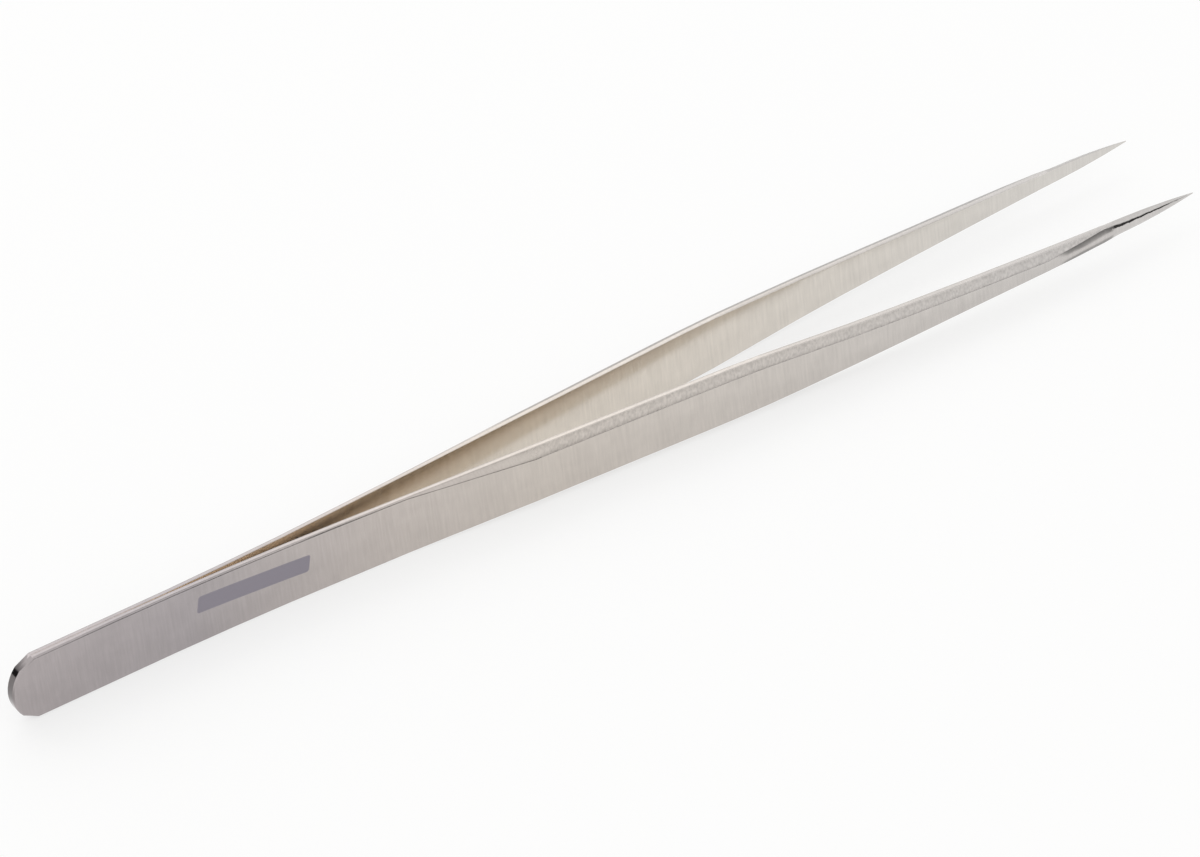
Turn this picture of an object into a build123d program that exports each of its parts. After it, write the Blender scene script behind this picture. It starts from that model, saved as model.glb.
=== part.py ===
"""Straight fine-point tweezers: two ground steel arms, welded face to face at the heel.

X runs from the heel to the points, Y across the opening, Z up across the width of the arms.
The arms narrow a little from the weld to the shoulder, and stand on that stretch of their lower edges.
The origin is midway along the length, between the arms, on the surface that they stand on.
"""

import os

from build123d import *

# Overall sizes, in millimetres
overall_length = 140.0
heel_width = 7.46
tip_opening = 11.2  # between the inner faces, at the points

# Rounded heel, ground as one rim over both arms
heel_facet_length = 1.65  # along X
heel_facet_drop = 0.95  # along Z
heel_crown = 1.0  # how far the end's arc stands out between its two facets
edge_break = 0.15

# Weld, and the bend ahead of it that opens the arms
weld_length = 12.0
spring_bend_reach = 13.0  # half the length of that bend
bow_reach = 6.0
bow_turn = 0.034  # change of slope where the arms turn back towards each other

# Width of an arm along its length
shoulder_width = 6.41
shoulder_reach = 5.0
nose_length = 46.0  # from the shoulder to the round point
shoulder_to_bow = 13.0
point_length = 9.0
point_width = 1.64
point_size = 0.1
nose_hollow = 0.17  # how far the edge dips below a straight line, shoulder to point
point_belly = 0.13  # how far the edge stands above a straight line, point to tip

# Thickness of an arm along its length
spring_thickness = 0.58
grip_thickness = 1.45
relief_thickness = 0.86  # at the front of the relief
point_thickness = 0.78
spring_length = 33.0  # thin stretch ahead of the weld
ramp_length = 14.0  # from the spring to full thickness
relief_length = 7.8  # where round grinding cuts back the bevels, behind the point
relief_to_point = 2.8
relief_swell = 1.7  # 1 thins the arm evenly, more thins it slowly at first

# Ground bevel along both outer edges of an arm
bevel_height_grip = 0.78
bevel_height_nose = 0.62
edge_flat_grip = 0.47
edge_flat_nose = 0.55
bevel_fullness = 0.16  # 0 is a flat bevel, 1 fills the corner
bevel_left = 0.09  # share of the bevel that the round grinding leaves at the point
point_edge_flat = 0.22
relief_roundness = 1 / 3  # an arc from edge to edge; 1 would be half an ellipse
point_roundness = 0.8

# Spacing of the cross-sections along an arm
section_pitch = 5.0
nose_section_pitch = 2.0  # from the relief on

# Places along the length, counted from the heel
half_heel = heel_width / 2
spring_bend_at = weld_length + spring_bend_reach
ramp_start = weld_length + spring_length
ramp_end = ramp_start + ramp_length
point_at = overall_length - point_length
relief_end = point_at - relief_to_point
relief_start = relief_end - relief_length
shoulder_at = point_at - nose_length
bow_at = shoulder_at + shoulder_to_bow
opening_slope = (tip_opening / 2 + bow_turn * (overall_length - bow_at)) / (overall_length - spring_bend_at)

# The arms' long axis dips by their taper, so that the lower edges lie level from the weld to the shoulder
edge_taper = (half_heel - shoulder_width / 2) / (shoulder_at - weld_length)
axis_direction = Vector(1, 0, -edge_taper).normalized()
half_width_midway = half_heel - edge_taper * (overall_length / 2 - weld_length)
middle = Vector(0, 0, half_width_midway * axis_direction.X)
side_plane = Plane(origin=middle, x_dir=axis_direction, z_dir=(0, -1, 0))
section_plane = Plane(origin=middle, x_dir=(0, 1, 0), z_dir=axis_direction)


def share(x, start, end):
    """How far x is from start to end, kept between 0 and 1."""
    return min(1.0, max(0.0, (x - start) / (end - start)))


def between(x, start, end, first, last):
    return first + (last - first) * share(x, start, end)


def corner_rounding(x, at, reach, turn):
    """What a smooth bend adds to a sharp corner with this change of slope."""
    return turn * max(0.0, reach - abs(x - at)) ** 2 / (4 * reach)


def inner_offset(x):
    """Distance from the middle plane to an arm's inner face."""
    opening = opening_slope * max(0.0, x - spring_bend_at)
    opening += corner_rounding(x, spring_bend_at, spring_bend_reach, opening_slope)
    closing = bow_turn * max(0.0, x - bow_at) + corner_rounding(x, bow_at, bow_reach, bow_turn)
    return opening - closing


def half_width(x):
    """Half the width of an arm, heel to tip."""
    nose = share(x, shoulder_at, point_at)
    point = share(x, point_at, overall_length)
    width = between(x, weld_length, shoulder_at, half_heel, shoulder_width / 2)
    width += (point_width - shoulder_width) / 2 * nose - 4 * nose_hollow * nose * (1 - nose)
    width += (point_size - point_width) / 2 * point + 4 * point_belly * point * (1 - point)
    handle_slope = (shoulder_width / 2 - half_heel) / (shoulder_at - weld_length)
    nose_slope = ((point_width - shoulder_width) / 2 - 4 * nose_hollow) / nose_length
    return width + corner_rounding(x, shoulder_at, shoulder_reach, nose_slope - handle_slope)


def taper(x):
    """What is left of the full section as the point tapers in all directions at once."""
    return min(1.0, half_width(x) / half_width(point_at))


def thickness(x):
    if x <= relief_start:
        return between(x, ramp_start, ramp_end, spring_thickness, grip_thickness)
    thinning = share(x, relief_start, relief_end) ** relief_swell
    thick = grip_thickness + (relief_thickness - grip_thickness) * thinning
    return between(x, relief_end, point_at, thick, point_thickness) * taper(x)


def edge_profile(x):
    """Width of the flat on an arm's edge, height of the bevel beside it, and how full that bevel is."""
    if x < ramp_end:
        flat = between(x, ramp_start, ramp_end, spring_thickness - edge_break, edge_flat_grip)
        height = between(x, ramp_start, ramp_end, edge_break, bevel_height_grip)
        return flat, height, between(x, ramp_start, ramp_end, 0.0, bevel_fullness)
    flat = between(x, ramp_end, relief_start, edge_flat_grip, edge_flat_nose)
    flat = between(x, relief_end, point_at, flat, point_edge_flat)
    height = between(x, ramp_end, relief_start, bevel_height_grip, bevel_height_nose)
    return flat * taper(x), height * taper(x), bevel_fullness


def arm_section(x):
    """One cross-section of the right arm, as a face at x."""
    flat, height, fullness = edge_profile(x)
    # Upper bevel, as depth from the inner face and height over the axis
    start = Vector(flat, half_width(x))
    corner = Vector(thickness(min(x, relief_start)) * taper(x), half_width(x))
    ridge = corner - Vector(0, height)
    bend = (start + ridge) / 2 * (1 - fullness) + corner * fullness
    # Round grinding of the nose leaves only the first share of that bevel
    left = between(x, relief_start, relief_end, 1.0, bevel_left)
    ridge = start + (bend - start) * 2 * left * (1 - left) + (ridge - start) * left**2
    bend = start + (bend - start) * left
    # and crowns the outer face between its two ridges; a cubic's holds stand 4/3 of its height
    crown = (thickness(x) - ridge.X) * 4 / 3
    crown_hold = ridge.Y * between(x, relief_end, point_at, relief_roundness, point_roundness)
    inner = -inner_offset(x)
    with BuildSketch(section_plane.offset(x - overall_length / 2)) as section:
        with BuildLine():
            for side in (1, -1):
                rim = [(inner - point.X, side * point.Y) for point in (start, bend, ridge)]
                Line((inner, side * start.Y), rim[0])
                Bezier(*rim)
            holds = [(inner - ridge.X - crown, side * crown_hold) for side in (1, -1)]
            Bezier((inner - ridge.X, ridge.Y), *holds, (inner - ridge.X, -ridge.Y))
            Line((inner, start.Y), (inner, -start.Y))
        make_face()
    return section.sketch


def stations(start, end, pitch=section_pitch):
    steps = max(1, round((end - start) / pitch))
    return [start + (end - start) * step / steps for step in range(steps + 1)]


with BuildPart() as right_arm:
    # The heel is a flat plate over the weld, with its rim rounded and its outer edge broken
    heel_x = -overall_length / 2
    weld_x = heel_x + weld_length
    facet_x = heel_x + heel_crown
    crown_half = half_heel - heel_facet_drop
    with BuildSketch(side_plane) as heel_outline:
        with BuildLine():
            for side in (1, -1):
                corner = (facet_x + heel_facet_length, side * half_heel)
                Line((facet_x, side * crown_half), corner)
                Line(corner, (weld_x, side * half_heel))
            Line((weld_x, half_heel), (weld_x, -half_heel))
            ThreePointArc((facet_x, crown_half), (heel_x, 0), (facet_x, -crown_half))
        make_face()
    extrude(amount=spring_thickness)
    outer_face = right_arm.faces().sort_by(Axis.Y)[0]
    rim = outer_face.edges().sort_by(Axis.X)[:-1]
    chamfer(rim, edge_break)
    # Spring, ramp to full thickness, grip and nose, relief, and round point
    stretches = [
        (weld_length, ramp_start),
        (ramp_start, ramp_end),
        (ramp_end, relief_start),
        (relief_start, relief_end),
        (relief_end, point_at),
        (point_at, overall_length),
    ]
    for start, end in stretches:
        pitch = nose_section_pitch if start >= relief_start else section_pitch
        loft(sections=[arm_section(x) for x in stations(start, end, pitch)], ruled=start == ramp_start)

with BuildPart() as left_arm:
    add(mirror(right_arm.part, about=Plane.XZ))

os.makedirs("parts", exist_ok=True)
right_arm.part.label = "right_arm"
export_step(right_arm.part, "parts/right_arm.step")
left_arm.part.label = "left_arm"
export_step(left_arm.part, "parts/left_arm.step")
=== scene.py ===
from math import cos, pi, radians

import bmesh
import bpy
from mathutils import Euler, Matrix, Vector


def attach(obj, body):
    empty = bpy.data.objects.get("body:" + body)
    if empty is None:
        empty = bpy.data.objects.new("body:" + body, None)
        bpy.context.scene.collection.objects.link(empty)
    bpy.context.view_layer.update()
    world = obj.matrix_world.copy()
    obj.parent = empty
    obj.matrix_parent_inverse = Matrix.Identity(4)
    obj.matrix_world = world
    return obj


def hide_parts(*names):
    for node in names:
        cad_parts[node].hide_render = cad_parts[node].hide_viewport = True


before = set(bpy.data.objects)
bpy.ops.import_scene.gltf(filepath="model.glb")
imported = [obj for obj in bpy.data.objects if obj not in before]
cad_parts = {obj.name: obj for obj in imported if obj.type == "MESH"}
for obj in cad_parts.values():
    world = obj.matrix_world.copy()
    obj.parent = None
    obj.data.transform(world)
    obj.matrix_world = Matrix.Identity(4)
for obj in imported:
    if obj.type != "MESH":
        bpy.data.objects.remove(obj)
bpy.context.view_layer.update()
scene = bpy.context.scene
scene.view_settings.view_transform = "Standard"
mm = 0.001


# Camera
# At the photograph's angle: in front of the near arm and above it, looking from the heel towards the points.
# A long lens, so the two arms and the far point keep nearly the same scale.
camera_place = (-347.961 * mm, -527.247 * mm, 511.177 * mm)
camera_azimuth = radians(-33.3650)
camera_elevation = radians(38.8465)
camera_roll = radians(-2.6013)
camera_lens = 243.469  # on a 36 mm wide sensor

bpy.ops.object.camera_add(location=camera_place)
camera = bpy.context.object
aim = Euler((radians(90) - camera_elevation, 0, camera_azimuth)).to_matrix()
camera.rotation_mode = "QUATERNION"
camera.rotation_quaternion = (aim @ Matrix.Rotation(camera_roll, 3, "Z")).to_quaternion()
camera.data.lens = camera_lens
camera.data.clip_start = 0.05
camera.data.clip_end = 20
scene.camera = camera


# Floor
# A white table board, larger than any view of the tweezers, which lie on it on their lower edges.
# To the camera and in the steel it is part paint and part plain white, so it is white and keeps a shadow.
floor_size = 6.0  # m
floor_drop = 0.02 * mm
floor_colour = "F4F4F3"
floor_white_share = 0.62
floor_white = 1.04


def linear(hex_colour):
    """An sRGB hex colour as linear red, green, blue and alpha."""
    channels = [int(hex_colour[i:i + 2], 16) / 255 for i in (0, 2, 4)]
    return [c / 12.92 if c <= 0.04045 else ((c + 0.055) / 1.055) ** 2.4 for c in channels] + [1]


def add_node(tree, kind, settings=None, **inputs):
    """Adds a node with its settings, and sets or links its inputs by name, or by number as _0."""
    node = tree.nodes.new(kind)
    for name, value in (settings or {}).items():
        setattr(node, name, value)
    for name, value in inputs.items():
        socket = node.inputs[int(name[1:]) if name[0] == "_" else name.replace("_", " ")]
        if isinstance(value, bpy.types.NodeSocket):
            tree.links.new(value, socket)
        else:
            socket.default_value = value
    return node


bpy.ops.object.select_all(action="DESELECT")
bpy.ops.mesh.primitive_plane_add(size=floor_size, location=(0, 0, -floor_drop))
floor = bpy.context.object
floor.name = "floor"
# Painted board: matt and even, with no sheen
board = bpy.data.materials.new("matt white table board")
board.use_nodes = True
tree = board.node_tree
paint = tree.nodes["Principled BSDF"]
paint.inputs["Base Color"].default_value = linear(floor_colour)
paint.inputs["Roughness"].default_value = 0.9
paint.inputs["Specular IOR Level"].default_value = 0.1
path = add_node(tree, "ShaderNodeLightPath").outputs
seen = path["Is Camera Ray"]
for ray in ("Is Glossy Ray", "Is Transmission Ray"):
    seen = add_node(tree, "ShaderNodeMath", {"operation": "MAXIMUM"}, _0=seen, _1=path[ray]).outputs[0]
share = add_node(tree, "ShaderNodeMath", {"operation": "MULTIPLY"}, _0=seen, _1=floor_white_share)
white = add_node(tree, "ShaderNodeEmission", Strength=floor_white)
both = add_node(tree, "ShaderNodeMixShader", _0=share.outputs[0], _1=paint.outputs[0], _2=white.outputs[0])
tree.links.new(both.outputs[0], tree.nodes["Material Output"].inputs["Surface"])
floor.data.materials.append(board)


# Studio
# A white room with three darker gaps: past the points, behind the heel, and overhead between the soft boxes.
# They give the ground steel its dark lines; a soft box over the far side lights every edge that faces up.
room_white = 0.97
gaps = [
    # towards, half angles of its core and its edge in degrees, brightness
    ((0.43, -0.87, 0.16), 12, 30, 0.05),
    ((-0.74, 0.64, 0.08), 14, 34, 0.05),
    ((0.43, -0.17, 0.89), 3, 8, 0.3),
]
soft_box_toward = Vector((0.06, 0.68, 0.66)).normalized()
soft_box_distance = 1.1
soft_box_size = (1.25, 0.75)
soft_box_radiance = 0.58

world = bpy.data.worlds.new("studio")
scene.world = world
world.use_nodes = True
tree = world.node_tree
direction = add_node(tree, "ShaderNodeTexCoord").outputs["Generated"]
smooth = {"interpolation_type": "SMOOTHSTEP"}
room = room_white
for toward, core, edge, dark in gaps:
    near = add_node(tree, "ShaderNodeVectorMath", {"operation": "DOT_PRODUCT"}, _0=direction,
                    _1=Vector(toward).normalized())
    gap = add_node(tree, "ShaderNodeMapRange", smooth, _0=near.outputs["Value"], _1=cos(radians(edge)),
                   _2=cos(radians(core)), _3=room_white, _4=dark)
    room = add_node(tree, "ShaderNodeMath", {"operation": "MINIMUM"}, _0=room, _1=gap.outputs[0]).outputs[0]
tree.links.new(room, tree.nodes["Background"].inputs["Color"])

bpy.ops.object.light_add(type="AREA", location=soft_box_toward * soft_box_distance)
soft_box = bpy.context.object
soft_box.name = "soft box"
soft_box.data.shape = "RECTANGLE"
soft_box.data.size, soft_box.data.size_y = soft_box_size
soft_box.data.energy = soft_box_radiance * pi * soft_box_size[0] * soft_box_size[1]
soft_box.rotation_mode = "QUATERNION"
soft_box.rotation_quaternion = soft_box_toward.to_track_quat("Z", "Y")


# Right arm
# The near arm: a blade of stainless steel, blanked and then ground on every face, and welded to its twin at the
# heel. A stone is run along its long edges, which leaves each one a hair wide and rounded; these broken edges are
# drawn duller and darker.
# Lengths and places are in millimetres, and angles in degrees.
arm_half_length = 70
ridge_break = 0.05  # where the bevel meets the outer face
inner_edge_break = 0.03  # where the edge meets the inner face
soft_edge_break = 0.09  # where the edge meets the bevel
ridge_angle = 20  # sharper edges than this are ridges
inner_edge_angle = 60
soft_edge_angle = 25
smooth_angle = 30
heel_end_x = -68.7
breaks_end_x = 58.0  # the fine points are polished, with no broken edges
bevel_starts = (-12, -9)
relief_starts = (51.2, 53.5)
relief_ends = (59.6, 58.9)
point_starts = (59.2, 59.8)
# Painted reflection and shade: the colour of the outer and inner faces from heel to point, lighter and darker along
# the arm like the uneven room they mirror
outer_painted_reflections = [(-70, "AEA7A7"), (-50, "ABA5A6"), (-29, "C1B9B4"), (-10, "CCC4BC"), (6, "CFC8C2"),
               (26, "CAC4C1"), (47, "CBC6C2"), (70, "CBC8C6")]
inner_painted_reflections = [(-40, "E6DCD0"), (-14, "E2D9CD"), (5, "D6D0C6"), (17, "CFC8C0"), (28, "CAC5C0"),
               (42, "D2CEC9"), (70, "D2CFCB")]


def broken_edges(name, outward):
    """A copy of a CAD arm with its doubles merged and its edges broken, which stands for it in the picture."""
    arm = bpy.data.objects.new(name + "_ground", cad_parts[name].data.copy())
    scene.collection.objects.link(arm)
    bpy.ops.object.select_all(action="DESELECT")
    arm.select_set(True)
    bpy.context.view_layer.objects.active = arm
    bpy.ops.object.mode_set(mode="EDIT")
    bpy.ops.mesh.select_mode(type="EDGE")
    bpy.ops.mesh.select_all(action="SELECT")
    bpy.ops.mesh.customdata_custom_splitnormals_clear()
    bpy.ops.mesh.remove_doubles(threshold=0.001 * mm)
    bpy.ops.mesh.dissolve_limited(angle_limit=radians(0.5))

    def facing(face):
        turned = face.normal.y * outward
        if turned < -0.9:
            return "inner"
        if turned > 0.87:
            return "outer"
        return "edge" if abs(face.normal.z) > 0.93 else "bevel"

    def select(kinds, sharpest, start):
        mesh = bmesh.from_edit_mesh(arm.data)
        for edge in mesh.edges:
            x = (edge.verts[0].co.x + edge.verts[1].co.x) / 2 / mm
            angle = edge.calc_face_angle(0)
            pair = {facing(face) for face in edge.link_faces}
            edge.select_set(angle > radians(sharpest) and pair == kinds and start < x < breaks_end_x)
        bmesh.update_edit_mesh(arm.data)

    select({"outer", "bevel"}, ridge_angle, heel_end_x)
    bpy.ops.mesh.bevel(offset=ridge_break * mm, segments=2, clamp_overlap=False, material=1)
    select({"inner", "edge"}, inner_edge_angle, -arm_half_length - 1)
    bpy.ops.mesh.bevel(offset=inner_edge_break * mm, segments=2, clamp_overlap=False, material=1)
    select({"edge", "bevel"}, soft_edge_angle, heel_end_x)
    bpy.ops.mesh.bevel(offset=soft_edge_break * mm, segments=3, clamp_overlap=False)
    bpy.ops.mesh.select_all(action="SELECT")
    bpy.ops.mesh.quads_convert_to_tris()
    bpy.ops.object.mode_set(mode="OBJECT")
    bpy.ops.object.shade_smooth_by_angle(angle=radians(smooth_angle))
    arm.data.materials.clear()
    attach(arm, "root")
    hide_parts(name)
    return arm


def ground_steel(name, outward, bevel_shade, bar=None):
    """Ground stainless steel: bright and satin, streaked across the blade, polished on the heel's rim and point."""
    material = bpy.data.materials.new(name)
    material.use_nodes = True
    tree = material.node_tree
    steel = tree.nodes["Principled BSDF"]
    steel.inputs["Metallic"].default_value = 1
    coordinates = add_node(tree, "ShaderNodeTexCoord").outputs
    place = add_node(tree, "ShaderNodeVectorMath", {"operation": "SCALE"}, _0=coordinates["Object"], Scale=1 / mm)
    place = place.outputs[0]
    x, _, z = add_node(tree, "ShaderNodeSeparateXYZ", _0=place).outputs
    normal_x, normal_y, normal_z = add_node(tree, "ShaderNodeSeparateXYZ", _0=coordinates["Normal"]).outputs

    def grain(size, first, last, turn=0.0):
        """Noise from first to last, with grains of that size in mm, turned about Y."""
        turned = add_node(tree, "ShaderNodeVectorRotate", {"rotation_type": "Y_AXIS"}, Vector=place,
                          Angle=radians(turn))
        scaled = add_node(tree, "ShaderNodeVectorMath", {"operation": "DIVIDE"}, _0=turned.outputs[0], _1=size)
        noise = add_node(tree, "ShaderNodeTexNoise", Vector=scaled.outputs[0], Scale=1, Detail=2)
        return add_node(tree, "ShaderNodeMapRange", _0=noise.outputs[0], _1=0.3, _2=0.7, _3=first,
                        _4=last).outputs[0]

    def tones(stops):
        """Painted reflection and shade: the steel's tone along the arm, which stands in for the uneven room that
        its ground faces mirror.
        """
        along = add_node(tree, "ShaderNodeMapRange", _0=x, _1=-arm_half_length, _2=arm_half_length)
        ramp = add_node(tree, "ShaderNodeValToRGB", _0=along.outputs[0])
        elements = ramp.color_ramp.elements
        elements.remove(elements[1])
        for index, (at, colour) in enumerate(stops):
            element = elements[0] if index == 0 else elements.new(0.5)
            element.position = (at + arm_half_length) / (2 * arm_half_length)
            element.color = linear(colour)
        return ramp.outputs[0]

    # Where each kind of surface lies: each reading with where the surface starts and where it is full
    turned_out = add_node(tree, "ShaderNodeMath", {"operation": "MULTIPLY"}, _0=normal_y, _1=outward).outputs[0]
    rise = add_node(tree, "ShaderNodeMath", {"operation": "ABSOLUTE"}, _0=normal_z).outputs[0]
    readings = [
        ("inner", turned_out, -0.5, -0.8),
        ("edge", rise, 0.9, 0.96),
        ("bevel", rise, 0.45, 0.62),
        ("bevel", rise, 0.96, 0.9),
        ("bevel", x, *bevel_starts),
        # The relief and heel_end readings also place the painted shade applied below
        ("relief", x, *relief_starts),
        ("relief", x, *relief_ends),
        ("relief", rise, 0.02, 0.34),
        ("relief", rise, 0.6, 0.5),
        ("relief", turned_out, 0.3, 0.5),
        ("heel_end", normal_x, -0.62, -0.78),
        ("heel_end", z, 1.6, 4.2),
        ("heel_rim", normal_x, -0.3, -0.45),
        ("point", x, *point_starts),
    ]
    masks = {}
    for kind, reading, start, full in readings:
        mask = add_node(tree, "ShaderNodeMapRange", smooth, _0=reading, _1=start, _2=full).outputs[0]
        if kind in masks:
            mask = add_node(tree, "ShaderNodeMath", {"operation": "MULTIPLY"}, _0=masks[kind], _1=mask).outputs[0]
        masks[kind] = mask

    # Fine streaks across the blade, slanted grinding marks on the bevels, and a faint mottle over the blade.
    # Real grinding marks are some 0.03 mm wide, too fine to show, so both are drawn at about 0.2 mm.
    streaks = grain((0.22, 0.5, 3.5), 0.965, 1.035, turn=4)
    marks = grain((0.2, 0.3, 0.9), 0.86, 1.12, turn=-38)
    mottle = grain((3.0, 1.5, 2.0), 0.97, 1.03)
    blade = add_node(tree, "ShaderNodeMath", {"operation": "MULTIPLY"}, _0=streaks, _1=mottle)
    marked = add_node(tree, "ShaderNodeMath", {"operation": "MULTIPLY"}, _0=marks, _1=bevel_shade)
    unpolished = add_node(tree, "ShaderNodeMapRange", smooth, _0=masks["point"], _1=1, _2=0)
    marked_share = add_node(tree, "ShaderNodeMath", {"operation": "MULTIPLY"}, _0=masks["bevel"],
                            _1=unpolished.outputs[0])
    shade = add_node(tree, "ShaderNodeMix", {"data_type": "FLOAT"}, _0=marked_share.outputs[0],
                     _2=blade.outputs[0], _3=marked.outputs[0]).outputs[0]
    # Painted shade: the relief by how far it tilts, the heel's end most towards its top, and the flats of the edges
    # are drawn darker, standing in for the darker room they mirror
    for kind, amount in (("relief", 0.5), ("heel_end", 0.42), ("edge", 0.95)):
        darker = add_node(tree, "ShaderNodeMapRange", smooth, _0=masks[kind], _3=1, _4=amount)
        shade = add_node(tree, "ShaderNodeMath", {"operation": "MULTIPLY"}, _0=shade,
                         _1=darker.outputs[0]).outputs[0]
    tone = add_node(tree, "ShaderNodeMix", {"data_type": "RGBA"}, _0=masks["inner"], _6=tones(outer_painted_reflections),
                    _7=tones(inner_painted_reflections))
    colour = add_node(tree, "ShaderNodeVectorMath", {"operation": "SCALE"}, _0=tone.outputs[2],
                      Scale=shade).outputs[0]

    # Satin, rougher on the bevels and the relief, and nearly a mirror on the heel's rim and the point
    roughness = grain((0.5, 0.5, 2.0), 0.2, 0.27)
    for kind, rougher in (("bevel", 0.1), ("relief", 0.12)):
        roughness = add_node(tree, "ShaderNodeMath", {"operation": "MULTIPLY_ADD"}, _0=masks[kind], _1=rougher,
                             _2=roughness).outputs[0]
    polished = add_node(tree, "ShaderNodeMath", {"operation": "MAXIMUM"}, _0=masks["point"], _1=masks["heel_rim"])
    smoother = add_node(tree, "ShaderNodeMapRange", smooth, _0=polished.outputs[0], _3=1, _4=0.4)
    roughness = add_node(tree, "ShaderNodeMath", {"operation": "MULTIPLY"}, _0=roughness,
                         _1=smoother.outputs[0]).outputs[0]
    if bar:
        colour, roughness = bar(tree, place, normal_y, colour, roughness)
    tree.links.new(colour, steel.inputs["Base Color"])
    tree.links.new(roughness, steel.inputs["Roughness"])
    grinding = add_node(tree, "ShaderNodeMath", {"operation": "MULTIPLY_ADD"}, _0=masks["bevel"], _1=marks,
                        _2=streaks)
    bump = add_node(tree, "ShaderNodeBump", Height=grinding.outputs[0], Strength=0.35, Distance=0.02 * mm)
    tree.links.new(bump.outputs[0], steel.inputs["Normal"])
    return material


def dark_edge_line_steel(name):
    """The broken edges: the same steel, duller and drawn a little darker, which draws a thin dark line round the
    blade.
    """
    material = bpy.data.materials.new(name)
    material.use_nodes = True
    steel = material.node_tree.nodes["Principled BSDF"]
    steel.inputs["Metallic"].default_value = 1
    steel.inputs["Roughness"].default_value = 0.4
    steel.inputs["Base Color"].default_value = linear("6B6661")
    return material


def etched_bar(tree, place, normal_y, colour, roughness):
    """A plain etched bar on the outer face, leaning like italics: matt grey with a touch of violet."""
    bar_centre = (-42.55, 0, 4.39)
    bar_half = (6.35, 9, 1.0)
    bar_corner = 0.3
    bar_rim = 0.04
    turned = add_node(tree, "ShaderNodeVectorMath", {"operation": "SUBTRACT"}, _0=place, _1=bar_centre)
    turned = add_node(tree, "ShaderNodeVectorRotate", {"rotation_type": "Y_AXIS"}, Vector=turned.outputs[0],
                      Angle=radians(-3.2))
    along, _, up = add_node(tree, "ShaderNodeSeparateXYZ", _0=turned.outputs[0]).outputs
    lean = add_node(tree, "ShaderNodeMath", {"operation": "MULTIPLY_ADD"}, _0=up, _1=-0.1, _2=along)
    flat = add_node(tree, "ShaderNodeCombineXYZ", X=lean.outputs[0], Z=up)
    flat = add_node(tree, "ShaderNodeVectorMath", {"operation": "ABSOLUTE"}, _0=flat.outputs[0])
    flat = add_node(tree, "ShaderNodeVectorMath", {"operation": "SUBTRACT"}, _0=flat.outputs[0],
                    _1=[size - bar_corner for size in bar_half])
    flat = add_node(tree, "ShaderNodeVectorMath", {"operation": "MAXIMUM"}, _0=flat.outputs[0], _1=(0, 0, 0))
    distance = add_node(tree, "ShaderNodeVectorMath", {"operation": "LENGTH"}, _0=flat.outputs[0])
    inside = add_node(tree, "ShaderNodeMapRange", smooth, _0=distance.outputs["Value"], _1=bar_corner + bar_rim,
                      _2=bar_corner - bar_rim)
    outer_face = add_node(tree, "ShaderNodeMath", {"operation": "LESS_THAN"}, _0=normal_y, _1=-0.8)
    mask = add_node(tree, "ShaderNodeMath", {"operation": "MULTIPLY"}, _0=inside.outputs[0],
                    _1=outer_face.outputs[0]).outputs[0]
    etched = add_node(tree, "ShaderNodeMix", {"data_type": "RGBA"}, _0=mask, _6=colour, _7=linear("938E97"))
    rough = add_node(tree, "ShaderNodeMix", {"data_type": "FLOAT"}, _0=mask, _2=roughness, _3=0.42)
    return etched.outputs[2], rough.outputs[0]


right_arm = broken_edges("right_arm", outward=-1)
right_arm.data.materials.append(ground_steel("ground stainless steel, near arm", -1, 1.0, bar=etched_bar))
right_arm.data.materials.append(dark_edge_line_steel("dark edge line, near arm"))


# Left arm
# The far arm: the same blade of ground stainless steel, mirrored, and welded face to face with the near one
# at the heel. Its outer bevels, turned from the light, are toned a little darker, and it carries no bar.
far_bevel_shade = 0.62
left_arm = broken_edges("left_arm", outward=1)
left_arm.data.materials.append(ground_steel("ground stainless steel, far arm", 1, far_bevel_shade))
left_arm.data.materials.append(dark_edge_line_steel("dark edge line, far arm"))
